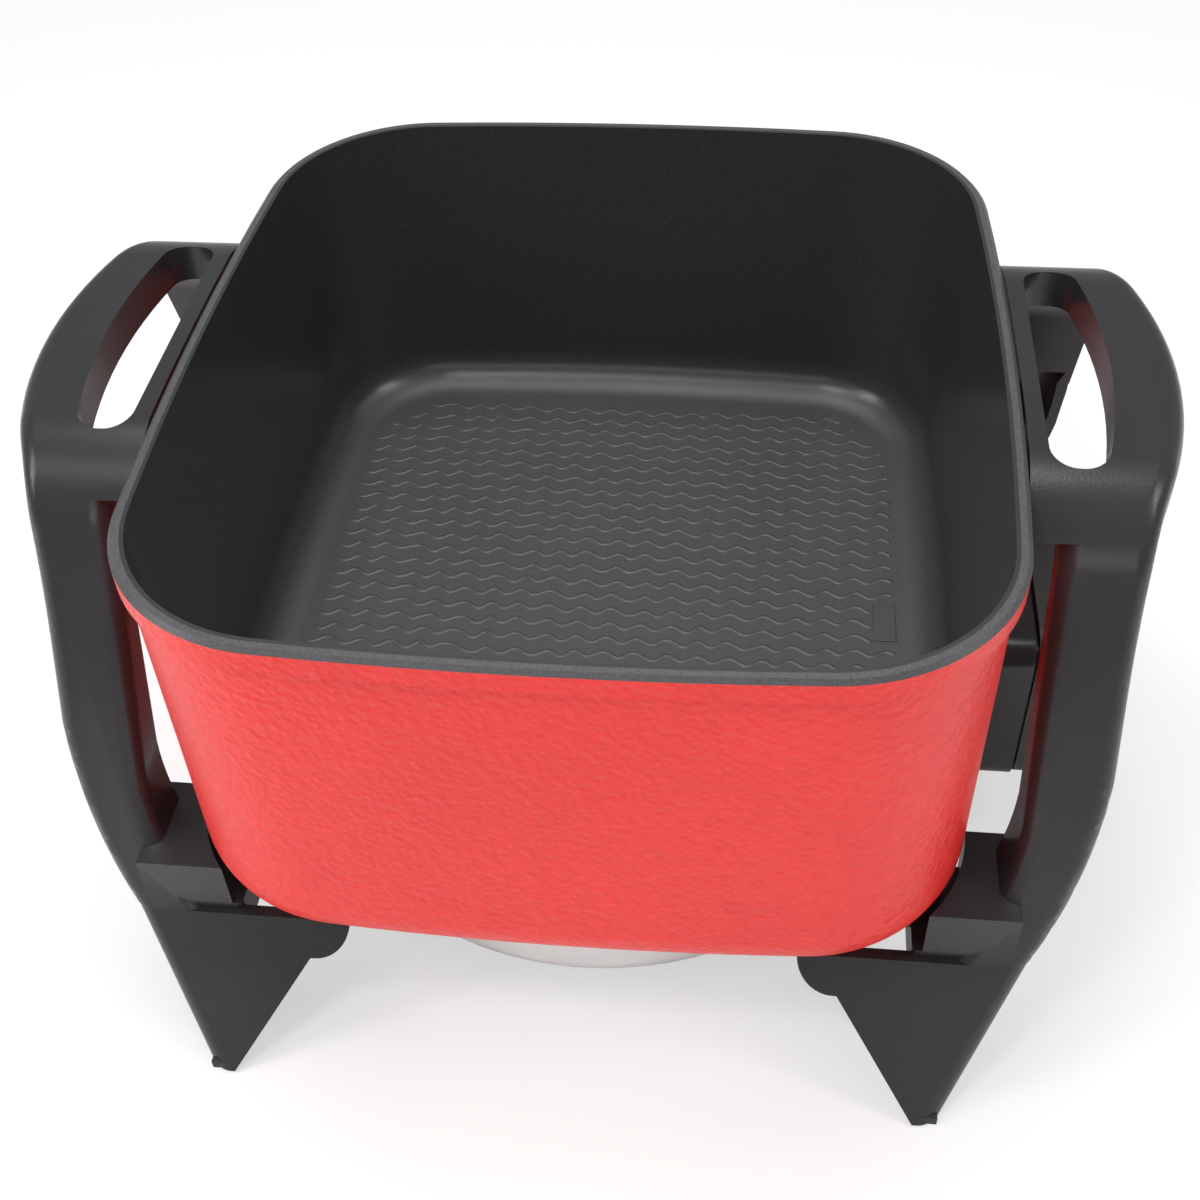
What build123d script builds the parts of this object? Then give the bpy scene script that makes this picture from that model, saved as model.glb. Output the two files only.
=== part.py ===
from build123d import *
import os
from math import cos, radians, sin, tan

os.makedirs("parts", exist_ok=True)

# Electric skillet: a deep cast pan carried by two moulded brackets, each one a loop handle
# and two legs in one piece, with a plug-in heat control under the right handle.
# Millimetres. The origin is on the table under the middle of the pan, +Z up, +X towards
# the heat control and -Y towards the cook.

# ---- Pan ----
rim_height = 223.0       # lip above the table
pan_depth = 126.0        # lip to cooking floor
base_thickness = 5.0     # cast base under the cooking floor
skirt_height = 27.5      # wall carried down below the base
skirt_width = 27.0       # foot of the wall to the recess under the base
rim_half_x = 146.0       # half the width over the middle of the lip
rim_half_y = 160.5       # half the length over the middle of the lip
side_bow = 7.0           # how far a side bows out between its corners
corner_radius = 63.0     # corners of the lip in plan
lip_width = 5.0          # flat top of the lip
lip_round = 1.5          # edges of the lip
collar_height = 11.0     # thick band under the lip
collar_step = 2.5        # wall set back below the band
collar_slope = 2.2       # height of the slope under the band
outer_draft = 0.4        # degrees, outside of the wall
inner_draft = 3.0        # degrees, inside of the wall
base_round = 26.0        # outside edge between wall and foot
floor_round = 16.0       # inside edge between wall and cooking floor

# ---- Heating element ----
tube_radius = 4.0
tube_centre = 9.0        # below the outside of the base
groove_gap = 0.05        # tube to its cast groove
ridge_wall = 5.0         # casting each side of the tube
loop_half = 82.0         # half the width of the heating loop
loop_round = 34.0        # outer bends of the loop
mouth_round = 18.0       # bends where the loop turns out to its terminals
mouth_spare = 9.0        # gap in the skirt, each side of the terminals
terminal_spacing = 40.0  # live pin to neutral pin
ridge_stop = 34.0        # end of the cast ridge to the shroud
tube_stop = 11.0         # end of the tube to the shroud
pin_radius = 2.5
pin_reach = 24.0         # live and neutral pins beyond the back of the shroud
earth_bite = 7.0         # length of the earth pin in its boss
earth_lead = 4.0         # the earth pin is shorter than the others
bush_length = 14.0
bush_radius = 6.0
bush_nose = 4.4
fit_gap = 0.08           # radial running fit
tip_chamfer = 1.6        # tips of the pins

# ---- Heat shield ----
shield_inset = 18.0      # dish to the side of the pan, in plan
shield_floor = 12.0      # underside above the table
shield_taper = 3.5       # the dish narrows by this much to its floor
shield_round = 12.0
shield_sheet = 1.0
shield_gap = 1.0         # flange to the foot of the pan
flange_width = 10.5
shield_boss_radius = 5.5
shield_rib_radius = 70.0  # pressed ring in the dish floor
shield_rib_width = 8.0
shield_rib_height = 2.0

# ---- Brackets, outwards from the pan ----
rim_gap = 0.8            # handle to the collar of the pan
inner_bar = 5.7          # bar of the loop next to the pan
grip_width = 25.0        # finger hole
grip_bow = 7.5           # finger hole is narrower by this much at its ends
grip_round = 9.0
grip_inset = 17.0        # end of the finger hole to the corner of the handle
leg_gap = 10.0           # leg to the line of the lip
leg_width = 28.5
handle_bow = 17.0        # outer bar bows out beyond the legs by this much
handle_sweep = 90.0      # bend where the bow runs into the leg, in plan
waist_inset = 18.5       # outer edge of the leg draws in by this much to the ledge
waist_bow = 6.5          # and bows out by this much on the way
waist_height = 93.0      # over this height above the ledge
foot_taper = 46.5        # outer edge of the leg to the tip of the foot
foot_width = 10.0        # tip of the foot
notch_inset = 41.0       # outer side of the tip to the notch under the ledge
ledge_length = 56.0      # outer side of the tip to the end of the ledge
post_width = 15.5        # inner side of the post to the outer side of the tip

# ---- Brackets, heights and depths ----
handle_drop = 1.0        # top of the handle below the lip
handle_thick = 15.0      # depth of the loop
handle_round = 7.0       # long edges of the handle and the legs
handle_corner = 74.0     # where the face of a leg would meet the top of the handle
leg_bend = 38.0          # bend between handle and leg, seen from the side
leg_lean = 0.378         # forward run of a leg for each unit of fall
foot_lean = 0.59         # the same below the ledge
shell_wall = 4.5         # walls of the hollow leg
hollow_drop = 60.0       # space inside a leg starts this far below the handle
plate_thick = 14.0       # foot below the ledge, front to back
ledge_drop = 7.5         # ledge below the foot of the pan
ledge_thick = 13.5
leg_curve = 50.0         # inner edge of the leg turns in over this height above the ledge
curve_sag = 5.0          # and has come in by this much half-way
arch_inset = 5.0         # arch to the corner of the handle, at its top
arch_splay = 46.0        # the arch widens by this much to the ledge
arch_round = 24.0
arm_thick = 12.0         # arm under the boss of the pan
arm_half = 10.0
post_rise = 25.0         # post above the ledge
post_gap = 1.0           # post to the pan
post_round = 3.0

# ---- Bosses, apron and screws ----
boss_drop = 4.0          # bosses below the foot of the pan
boss_radius = 7.5
boss_in_x = 30.0         # boss to the side of the pan
boss_in_y = 54.5         # boss to the front of the pan
apron_half = 46.0        # inner wall that is screwed to the side of the pan
apron_depth = 41.0       # below the underside of the loop
apron_gap = 3.0          # apron to the line of the lip
apron_corner = 8.0
apron_screw_y = 30.0
apron_screw_drop = 26.0  # below the underside of the loop
side_boss_radius = 8.0
boss_root = 3.0          # bosses start this far inside the wall
screw_radius = 2.4
screw_hole_gap = 0.1     # screw to its hole
head_radius = 4.6
head_height = 3.2
head_chamfer = 0.9
thread_bite = 8.0        # thread of a long screw in the base
side_bite = 6.0          # thread of an apron screw in its boss
shroud_bite = 5.0
shield_bite = 5.0
hole_spare = 0.5         # a blind hole is deeper than its screw
pad_thick = 3.0          # rubber foot pads
pad_stand = 1.0          # how far a pad stands out of the foot
pad_margin = 1.6

# ---- Socket shroud on the pan ----
shroud_gap = 6.0         # shroud to the line of the lip
shroud_depth = 15.0
socket_height = 74.0
socket_half = 36.0
socket_drop = 6.0        # middle of the shroud below the line of the pins
shroud_wall = 2.5
shroud_floor = 3.0
shroud_corner = 9.0
shroud_screw_y = 27.0
shroud_screw_z = 18.0    # above the line of the pins
probe_clearance = 1.0    # probe to the back of the shroud
earth_rise = 18.0        # earth pin above the line of the pins

# ---- Heat control ----
plug_gap = 1.5           # control to shroud, all round
control_half = 34.0
control_height = 78.0
control_depth = 21.0     # inner face to outer face
seam_depth = 9.5         # inner face to the joint with the cover
control_boss_radius = 6.5
control_wall = 2.5
control_corner = 11.0
control_edge_round = 4.0
probe_radius = 3.2
probe_length = 74.0
probe_block = (8.0, 46.0)  # half width and length of the boss that holds the probe
probe_cover = 10.0       # boss beyond the tip of the probe
probe_bottom = 3.0       # bore beyond the tip of the probe
probe_chamfer = 2.0
switch_gap = 1.0         # switch block to the floor of the inner shell
receptacle_wall = 1.5
receptacle_spare = 1.5   # sleeve beyond the end of its pin
receptacle_cap = 1.0
dial_radius = 19.0
dial_rise = 7.0          # dial centre above the line of the pins
dial_skirt = 3.0
dial_hub = 1.5           # hub above the skirt
hub_inset = 4.0
dial_depth = 11.0
dial_cap = 3.0           # dial left in front of its shaft
dial_grip = 12.0         # width of the bar across the dial
grip_end = 3.0           # bar to the edge of the dial
dial_chamfer = 1.2
dial_gap = 0.5           # dial to cover
shaft_radius = 3.0
shaft_gap = 0.1          # shaft to the switch block
switch_size = (8.0, 26.0, 26.0)
lamp_y = 25.0
lamp_rise = 20.0
lens_radius = 3.0
lens_stand = 1.0
lamp_radius = 2.4
lamp_length = 9.0
lamp_chamfer = 0.8
gland_drop = 30.0
gland_radius = 6.0
gland_bore = 3.5
gland_length = 16.0
gland_stand = 3.0
gland_collar = 1.5       # collar of the gland on the cover
control_screw_y = 25.0
control_screw_z = 29.0   # above and below the middle of the shroud
control_screw_length = 14.0

# ---- Places that follow from the sizes ----
over = 1.0               # overlap of solids that are joined, overshoot of cuts
steep = 0.8              # an edge runs across when its direction has more X than this
tolerance = 0.1          # an edge lies on an outline when it is nearer than this
floor_z = rim_height - pan_depth
base_z = floor_z - base_thickness
skirt_z = base_z - skirt_height
boss_foot = skirt_z - boss_drop
boss_x = rim_half_x - boss_in_x
boss_y = rim_half_y - boss_in_y
skirt_inset = collar_step + (rim_height - skirt_z) * tan(radians(outer_draft)) + skirt_width
shield_top = skirt_z - shield_gap
shield_radius = rim_half_x - shield_inset
pin_z = base_z - tube_centre
pin_y = terminal_spacing / 2
earth_z = pin_z + earth_rise
dial_z = pin_z + dial_rise
socket_z = pin_z - socket_drop
shroud_back = rim_half_x + shroud_gap
shroud_front = shroud_back + shroud_depth
shroud_boss_z = pin_z + shroud_screw_z
ridge_end = shroud_back - ridge_stop
tube_end = shroud_back - tube_stop
pin_end = shroud_back + pin_reach
receptacle_end = pin_end + receptacle_spare
nose_start = shroud_back + shroud_floor + head_height + plug_gap
body_start = shroud_front + plug_gap
control_seam = body_start + seam_depth
control_face = body_start + control_depth
cover_floor = control_face - control_wall
probe_seat = body_start + control_wall + switch_gap
probe_tip = probe_seat - probe_length
handle_top = rim_height - handle_drop
handle_low = handle_top - handle_thick
leg_inner = rim_half_x + leg_gap
leg_outer = leg_inner + leg_width
handle_reach = leg_outer + handle_bow
waist = leg_outer - waist_inset
foot_outer = leg_outer - foot_taper
foot_inner = foot_outer - foot_width
grip_inner = rim_half_x + rim_gap + inner_bar
post_inner = foot_outer - post_width
ledge_top = skirt_z - ledge_drop
ledge_low = ledge_top - ledge_thick
arm_low = boss_foot - arm_thick
arch_half = handle_corner - arch_inset
apron_inner = rim_half_x + apron_gap
apron_seat = grip_inner
apron_screw_z = handle_low - apron_screw_drop


def cylinder_x(radius, start, end, y, z):
    """Round bar along X between two stations."""
    bar = Cylinder(radius, end - start, align=(Align.CENTER, Align.CENTER, Align.MIN))
    return Pos(start, y, z) * Rot(0, 90, 0) * bar


def cylinder_z(radius, low, high, x, y):
    """Round bar along Z between two levels."""
    bar = Cylinder(radius, high - low, align=(Align.CENTER, Align.CENTER, Align.MIN))
    return Pos(x, y, low) * bar


def block(x_range, y_range, z_range):
    """Box between three pairs of limits."""
    size = [high - low for low, high in (x_range, y_range, z_range)]
    centre = [(high + low) / 2 for low, high in (x_range, y_range, z_range)]
    return Pos(*centre) * Box(*size)


def rounded_box_x(half_y, height, corner, start, end, z):
    """Box along X with rounded corners, centred on y = 0."""
    face = Plane.YZ * Pos(0, z) * RectangleRounded(2 * half_y, height, corner)
    return Pos(start, 0, 0) * extrude(face, amount=end - start)


def screw(length):
    """Pan-head screw along +Z with its shank down to z = -length and its head on z = 0."""
    head = cylinder_z(head_radius, 0, head_height, 0, 0)
    head = chamfer(head.edges().group_by(Axis.Z)[-1], head_chamfer)
    return head + cylinder_z(screw_radius, -length, 0, 0, 0)


def export(name, *solids):
    """Write one node; several solids in it stay separate."""
    solids = [piece for item in solids for piece in item.solids()]
    shape = solids[0] if len(solids) == 1 else Compound(children=solids)
    shape.label = name
    export_step(shape, f"parts/{name}.step")


# ---------------------------------------------------------------- pan
def bowed_outline(inset):
    """Outline of the lip less an inset: a rounded rectangle whose sides bow outwards."""
    half_x, half_y = rim_half_x - inset, rim_half_y - inset
    x, y = half_x - side_bow, half_y - side_bow
    edges = Curve() + [
        ThreePointArc((-x, -y), (0, -half_y), (x, -y)),
        ThreePointArc((x, -y), (half_x, 0), (x, y)),
        ThreePointArc((x, y), (0, half_y), (-x, y)),
        ThreePointArc((-x, y), (-half_x, 0), (-x, -y)),
    ]
    face = make_face(edges)
    return fillet(face.vertices(), corner_radius - inset)


def hollow_block(inset, bottom, draft, bottom_round):
    """Bowed block that narrows downwards from the lip, with its bottom edge rounded."""
    outline = Pos(0, 0, rim_height) * bowed_outline(inset)
    solid = extrude(outline, amount=bottom - rim_height, taper=draft)
    return fillet(solid.edges().group_by(Axis.Z)[0], bottom_round)


def element_path():
    """Centre line of the heating tube: an open loop whose two ends leave towards +X."""
    points = [
        (tube_end, -pin_y),
        (loop_half, -pin_y),
        (loop_half, -loop_half),
        (-loop_half, -loop_half),
        (-loop_half, loop_half),
        (loop_half, loop_half),
        (loop_half, pin_y),
        (tube_end, pin_y),
    ]
    radii = [mouth_round, loop_round, loop_round, loop_round, loop_round, mouth_round]
    return Pos(0, 0, pin_z) * FilletPolyline(*points, radius=radii)


def tube_along(path, radius):
    """Round bar swept along the heating tube's centre line."""
    section = Plane(origin=path @ 0, z_dir=path % 0) * Circle(radius)
    return sweep(section, path=path)


def pan_body():
    """Die-cast pan with its collar, its recessed underside and the bosses cast on it."""
    wall = hollow_block(collar_step, skirt_z, outer_draft, base_round)
    collar = extrude(Pos(0, 0, rim_height) * bowed_outline(0), amount=-collar_height)
    collar = chamfer(collar.edges().group_by(Axis.Z)[-1], lip_round)
    collar = chamfer(collar.edges().group_by(Axis.Z)[0], collar_slope, collar_step)
    cavity = hollow_block(lip_width, floor_z, inner_draft, floor_round)
    recess = extrude(Pos(0, 0, base_z) * bowed_outline(skirt_inset), amount=-skirt_height - over)
    mouth = pin_y + mouth_spare
    gap = block((boss_x, rim_half_x + over), (-mouth, mouth), (skirt_z - over, base_z))
    body = wall + collar - cavity - recess - gap

    path = element_path()
    ridge = trace(Pos(0, 0, tube_centre + over) * path, 2 * (tube_radius + ridge_wall))
    ridge = extrude(ridge, amount=-tube_centre - over)
    body += ridge & block((-rim_half_x, ridge_end), (-rim_half_y, rim_half_y), (0, rim_height))
    half, length = probe_block
    start = probe_tip - probe_cover
    body += block((start, start + length), (-half, half), (pin_z - half, base_z + over))

    for sx in (-1, 1):
        for sy in (-1, 1):
            body += cylinder_z(boss_radius, boss_foot, base_z + over, sx * boss_x, sy * boss_y)
            body += cylinder_x(side_boss_radius, *side_boss_span(sx), sy * apron_screw_y, apron_screw_z)
    for x, y in shield_screw_places():
        body += cylinder_z(shield_boss_radius, shield_top, base_z + over, x, y)
    wall_side = rim_half_x - collar_step - (rim_height - earth_z) * tan(radians(outer_draft))
    shroud_boss = (wall_side - boss_root, shroud_back)
    for y in (-shroud_screw_y, shroud_screw_y):
        body += cylinder_x(shield_boss_radius, *shroud_boss, y, shroud_boss_z)
    body += cylinder_x(shield_boss_radius, *shroud_boss, 0, earth_z)

    body -= tube_along(path, tube_radius + groove_gap)
    body -= cylinder_x(probe_radius + fit_gap, probe_tip - probe_bottom, shroud_back, 0, pin_z)
    for hole in pan_holes():
        body -= hole
    return body


def pan_holes():
    """Blind holes for the screws and the earth pin."""
    radius = screw_radius + screw_hole_gap
    holes = []
    for sy in (-1, 1):
        for sx in (-1, 1):
            span = (boss_foot - over, boss_foot + thread_bite + hole_spare)
            holes.append(cylinder_z(radius, *span, sx * boss_x, sy * boss_y))
        inner, outer = apron_inner - side_bite - hole_spare, apron_inner + over
        holes.append(cylinder_x(radius, inner, outer, sy * apron_screw_y, apron_screw_z))
        holes.append(cylinder_x(radius, -outer, -inner, sy * apron_screw_y, apron_screw_z))
        span = (shroud_back - shroud_bite - hole_spare, shroud_back + over)
        holes.append(cylinder_x(radius, *span, sy * shroud_screw_y, shroud_boss_z))
    for x, y in shield_screw_places():
        span = (shield_top - over, shield_top + shield_bite + hole_spare)
        holes.append(cylinder_z(radius, *span, x, y))
    earth_hole = pin_radius + screw_hole_gap
    holes.append(cylinder_x(earth_hole, shroud_back - earth_bite, shroud_back + over, 0, earth_z))
    return holes


def side_boss_span(side):
    """Stations of the boss between the wall of the pan and the apron of a bracket."""
    inner = rim_half_x - collar_step - boss_root
    return (inner, apron_inner) if side > 0 else (-apron_inner, -inner)


def shield_screw_places():
    """Screws of the heat shield, on the diagonals."""
    reach = (shield_radius + flange_width / 2) * cos(radians(45))
    return [(sx * reach, sy * reach) for sx in (-1, 1) for sy in (-1, 1)]


# ---------------------------------------------------------------- heating
def heating_element():
    """Sheathed tube pressed into the groove under the base."""
    return tube_along(element_path(), tube_radius)


def terminal_bushes():
    """Ceramic bushes that close the two ends of the tube."""
    bushes = []
    for y in (-pin_y, pin_y):
        bush = cylinder_x(bush_radius, tube_end, tube_end + bush_length / 2, y, pin_z)
        bush += cylinder_x(bush_nose, tube_end, tube_end + bush_length, y, pin_z)
        bush -= cylinder_x(pin_radius + fit_gap, tube_end - over, tube_end + bush_length + over, y, pin_z)
        bushes.append(bush)
    return bushes


def contact_pin(start, end, y, z):
    """Contact pin with a bevelled tip."""
    pin = cylinder_x(pin_radius, start, end, y, z)
    return chamfer(pin.edges().group_by(Axis.X)[-1], tip_chamfer)


# ---------------------------------------------------------------- shield
def ring_z(radius, width, low, high):
    """Flat ring about the vertical axis."""
    return cylinder_z(radius + width / 2, low, high, 0, 0) - cylinder_z(radius - width / 2, low, high, 0, 0)


def heat_shield():
    """Pressed dish with a flange and a ring pressed into its floor."""
    top, low, sheet = shield_top, shield_floor, shield_sheet
    foot = shield_radius - shield_taper
    outline = Polyline(
        (0, low),
        (foot, low),
        (shield_radius, top - sheet),
        (shield_radius + flange_width, top - sheet),
        (shield_radius + flange_width, top),
        (shield_radius - sheet, top),
        (foot - sheet, low + sheet),
        (0, low + sheet),
        close=True,
    )
    face = make_face(outline)
    outer = face.vertices().sort_by_distance((foot, low, 0))[0]
    face = fillet(outer, shield_round)
    inner = face.vertices().sort_by_distance((foot - sheet, low + sheet, 0))[0]
    face = fillet(inner, shield_round - sheet)
    dish = revolve(Plane.XZ * face, axis=Axis.Z)
    dish += ring_z(shield_rib_radius, shield_rib_width, low, low + shield_rib_height + sheet)
    dish -= ring_z(shield_rib_radius, shield_rib_width - 2 * sheet, low - over, low + shield_rib_height)
    for x, y in shield_screw_places():
        dish -= cylinder_z(screw_radius + screw_hole_gap, low, top + over, x, y)
    return dish


# ---------------------------------------------------------------- brackets
def leg_y(z):
    """Front face of the front leg at a height."""
    if z >= ledge_top:
        return -(handle_corner + leg_lean * (handle_top - z))
    return leg_y(ledge_top) - foot_lean * (ledge_top - z)


def leg_view():
    """Front view of a leg above its ledge, up to the handle."""
    shoulder = ledge_top + waist_height
    middle = ((leg_outer + waist) / 2 + waist_bow, ledge_top + waist_height / 2)
    bend = ledge_top + leg_curve
    turn = (leg_inner - curve_sag, ledge_top + leg_curve / 2)
    edges = Curve() + [
        Line((leg_inner, handle_top), (leg_inner, bend)),
        ThreePointArc((leg_inner, bend), turn, (foot_outer, ledge_top)),
        Line((foot_outer, ledge_top), (waist, ledge_top)),
        ThreePointArc((waist, ledge_top), middle, (leg_outer, shoulder)),
        Line((leg_outer, shoulder), (handle_reach, handle_low)),
        Line((handle_reach, handle_low), (handle_reach, handle_top)),
        Line((handle_reach, handle_top), (leg_inner, handle_top)),
    ]
    return make_face(edges)


def foot_view():
    """Front view of the foot with its ledge and rounded finger."""
    reach = foot_outer - ledge_length
    finger = reach + ledge_thick
    bend = ledge_thick * cos(radians(45))
    notch = foot_outer - notch_inset
    edges = Curve() + [
        Line((waist, ledge_top), (reach, ledge_top)),
        ThreePointArc((reach, ledge_top), (finger - bend, ledge_top - bend), (finger, ledge_low)),
        Line((finger, ledge_low), (notch, ledge_low)),
        Line((notch, ledge_low), (foot_inner, 0)),
        Line((foot_inner, 0), (foot_outer, 0)),
        Line((foot_outer, 0), (waist, ledge_top)),
    ]
    return make_face(edges)


def leaning_outline(low, high, inset=0.0):
    """Side view between the faces of the two legs, cut at two levels."""
    levels = [low] + [z for z in (ledge_top,) if low < z < high] + [high]
    right_side = [(-leg_y(z) - inset, z) for z in levels]
    left_side = [(-y, z) for y, z in reversed(right_side)]
    return make_face(Polyline(*right_side, *left_side, close=True))


def side_outline():
    """Side view of the whole bracket: two leaning legs and the flat top of the handle."""
    face = leaning_outline(0, handle_top)
    return fillet(face.vertices().group_by(Axis.Y)[-1], leg_bend)


def arch():
    """Side view of the arch between the legs."""
    low = ledge_low - over
    wide = arch_half + arch_splay
    corners = [(-wide, low), (-arch_half, handle_low), (arch_half, handle_low), (wide, low)]
    face = make_face(Polyline(*corners, close=True))
    return fillet(face.vertices().group_by(Axis.Y)[-1], arch_round)


def along_x(face, start, end):
    """Extrude a side view between two stations."""
    return Pos(start, 0, 0) * extrude(Plane.YZ * face, amount=end - start)


def along_y(face):
    """Extrude a front view to both sides of the middle, beyond the feet."""
    return extrude(Plane.XZ * face, amount=over - leg_y(0), both=True)


def handle_plan():
    """Plan of the bracket: the outer bar bows out between the legs."""
    far = over - leg_y(0)
    edges = Curve() + [
        Line((0, -far), (leg_outer, -far)),
        Line((leg_outer, -far), (leg_outer, -handle_corner)),
        ThreePointArc((leg_outer, -handle_corner), (handle_reach, 0), (leg_outer, handle_corner)),
        Line((leg_outer, handle_corner), (leg_outer, far)),
        Line((leg_outer, far), (0, far)),
        Line((0, far), (0, -far)),
    ]
    face = make_face(edges)
    bends = [v for v in face.vertices() if v.X > over and abs(v.Y) < far - over]
    return fillet(bends, handle_sweep)


def face_edges(solid, inner):
    """Long edges of the faces seen from the front, the back and above, beyond a station."""
    rim = (Plane.YZ * side_outline()).faces()[0].outer_wire()
    edges = []
    for edge in solid.edges():
        middle = edge @ 0.5
        across = abs(edge.tangent_at(0.5).X) > steep
        if middle.X > inner and not across:
            if rim.distance_to(Vector(0, middle.Y, middle.Z)) < tolerance:
                edges.append(edge)
    return edges


def outer_shape():
    """Handle and legs as one solid, with the long edges of their faces rounded."""
    solid = along_y(leg_view()) & along_x(side_outline(), 0, handle_reach + over)
    solid = solid & extrude(handle_plan(), amount=rim_height)
    solid -= along_x(arch(), 0, handle_reach + over)
    return fillet(face_edges(solid, leg_inner - leg_width), handle_round)


def hollow():
    """Space inside the two legs, open towards the arch."""
    low, high = ledge_top, handle_low + handle_thick - hollow_drop
    room = Pos(0, (low + high) / 2) * Rectangle(2 * handle_reach, high - low)
    view = offset(leg_view() & room, -shell_wall, kind=Kind.INTERSECTION)
    side = leaning_outline(low, high, inset=shell_wall * 1.2)
    return along_y(view) & along_x(side, 0, handle_reach)


def foot_plates():
    """Feet, front and rear: thick plates with a thin ledge beside the post."""
    full = (0, ledge_top)
    side = leaning_outline(*full)
    thin = along_x(side - leaning_outline(*full, inset=shell_wall), 0, handle_reach)
    thick = along_x(side - leaning_outline(*full, inset=plate_thick), 0, handle_reach)
    across = (leg_y(0), -leg_y(0))
    sole = block((0, handle_reach), across, (0, ledge_low))
    sole += block((post_inner + post_round, handle_reach), across, (0, ledge_top))
    feet = along_y(foot_view()) & (thin + (thick & sole))
    return fillet(face_edges(feet, foot_outer), handle_round)


def post(side):
    """Post behind the leg and the arm that carries a boss of the pan."""
    front = leg_y(ledge_top) + shell_wall / 2
    rear = arm_half - boss_y
    wall = leg_inner + shell_wall / 2
    stem = block((post_inner, wall), (front, rear), (ledge_low + over, ledge_top + post_rise))
    stem = fillet(stem.edges().filter_by(Axis.Z).group_by(Axis.X)[0], post_round)
    arm = block((boss_x - arm_half, wall), (-boss_y - arm_half, rear), (arm_low, boss_foot))
    lip = Pos(0, 0, rim_height) * bowed_outline(collar_step - post_gap)
    body = stem - extrude(lip, amount=boss_foot - rim_height, taper=outer_draft)
    body += arm
    return body if side < 0 else body.mirror(Plane.XZ)


def handle_block():
    """Inner bar of the loop, carried in to the collar of the pan."""
    bar = along_x(side_outline() - arch(), rim_half_x - side_bow, leg_inner + handle_round + over)
    return bar & block((0, handle_reach), (leg_y(0), -leg_y(0)), (handle_low, handle_top))


def finger_hole():
    """Plan of the hole in the loop: its outer side follows the bow of the handle."""
    half = handle_corner - grip_inset
    outer = grip_inner + grip_width
    edges = Curve() + [
        Line((grip_inner, -half), (outer - grip_bow, -half)),
        ThreePointArc((outer - grip_bow, -half), (outer, 0), (outer - grip_bow, half)),
        Line((outer - grip_bow, half), (grip_inner, half)),
        Line((grip_inner, half), (grip_inner, -half)),
    ]
    face = make_face(edges)
    return fillet(face.vertices(), grip_round)


def apron():
    """Inner wall under the loop, screwed to the side of the pan."""
    levels = (handle_low - apron_depth, handle_low + over)
    plate = block((apron_inner, apron_seat), (-apron_half, apron_half), levels)
    return fillet(plate.edges().filter_by(Axis.X).group_by(Axis.Z)[0], apron_corner)


def bracket():
    """Right-hand bracket: loop handle, two legs, ledges, posts and apron in one moulding."""
    body = outer_shape() - hollow()
    body += foot_plates()
    body += handle_block()
    body += apron()
    for side in (-1, 1):
        body += post(side)
    grip = Pos(0, 0, handle_low - apron_depth) * finger_hole()
    body -= extrude(grip, amount=apron_depth + handle_thick + over)
    rim = Pos(0, 0, handle_low - over) * bowed_outline(-rim_gap)
    body -= extrude(rim, amount=handle_thick + 2 * over)
    hole = screw_radius + screw_hole_gap
    for sy in (-1, 1):
        body -= cylinder_z(hole, arm_low - over, base_z, boss_x, sy * boss_y)
        body -= cylinder_x(hole, apron_inner - over, apron_seat + over, sy * apron_screw_y, apron_screw_z)
        body -= foot_pad(sy, pad_stand, pad_stand + pad_thick)
    body -= block((0, handle_reach), (leg_y(0), -leg_y(0)), (0, pad_stand))
    return body


def foot_pad(side, low, high):
    """Rubber pad in the sole of one foot."""
    front = leg_y(pad_stand) + pad_margin
    rear = leg_y(pad_stand) + plate_thick - pad_margin
    y_range = (front, rear) if side < 0 else (-rear, -front)
    return block((foot_inner + pad_margin, foot_outer - pad_margin), y_range, (low, high))


def foot_pads():
    """Pads of one bracket."""
    return [foot_pad(side, 0, pad_stand + pad_thick) for side in (-1, 1)]


def bracket_screws():
    """Two screws through the apron and two longer ones up through the arms."""
    long_screw = screw(arm_thick + thread_bite)
    short_screw = screw(apron_seat - apron_inner + side_bite)
    screws = []
    for side in (-1, 1):
        place = Pos(boss_x, side * boss_y, arm_low)
        screws.append(place * Rot(180, 0, 0) * long_screw)
        place = Pos(apron_seat, side * apron_screw_y, apron_screw_z)
        screws.append(place * Rot(0, 90, 0) * short_screw)
    return screws


def left(shape):
    """The same piece on the left-hand side."""
    return shape.mirror(Plane.YZ)


# ---------------------------------------------------------------- socket on the pan
def socket_shroud():
    """Moulded guard round the pins, open towards the heat control."""
    body = rounded_box_x(socket_half, socket_height, shroud_corner, shroud_back, shroud_front, socket_z)
    room = rounded_box_x(
        socket_half - shroud_wall,
        socket_height - 2 * shroud_wall,
        shroud_corner - shroud_wall,
        shroud_back + shroud_floor,
        shroud_front + over,
        socket_z,
    )
    body -= room
    through = (shroud_back - over, shroud_back + shroud_floor + over)
    for y in (-pin_y, pin_y):
        body -= cylinder_x(bush_nose + screw_hole_gap, *through, y, pin_z)
    body -= cylinder_x(probe_radius + probe_clearance, *through, 0, pin_z)
    body -= cylinder_x(pin_radius + screw_hole_gap, *through, 0, earth_z)
    for y in (-shroud_screw_y, shroud_screw_y):
        body -= cylinder_x(screw_radius + screw_hole_gap, *through, y, shroud_boss_z)
    return body


def shroud_screws():
    """Two screws that hold the shroud to the pan."""
    seat = shroud_back + shroud_floor
    return [
        Pos(seat, y, shroud_boss_z) * Rot(0, 90, 0) * screw(shroud_floor + shroud_bite)
        for y in (-shroud_screw_y, shroud_screw_y)
    ]


# ---------------------------------------------------------------- heat control
def nose_bar(inset, start, end):
    """Bar with the outline of the plug nose less an inset."""
    gap = shroud_wall + plug_gap + inset
    height = socket_height - 2 * gap
    return rounded_box_x(socket_half - gap, height, shroud_corner - gap, start, end, socket_z)


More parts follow.
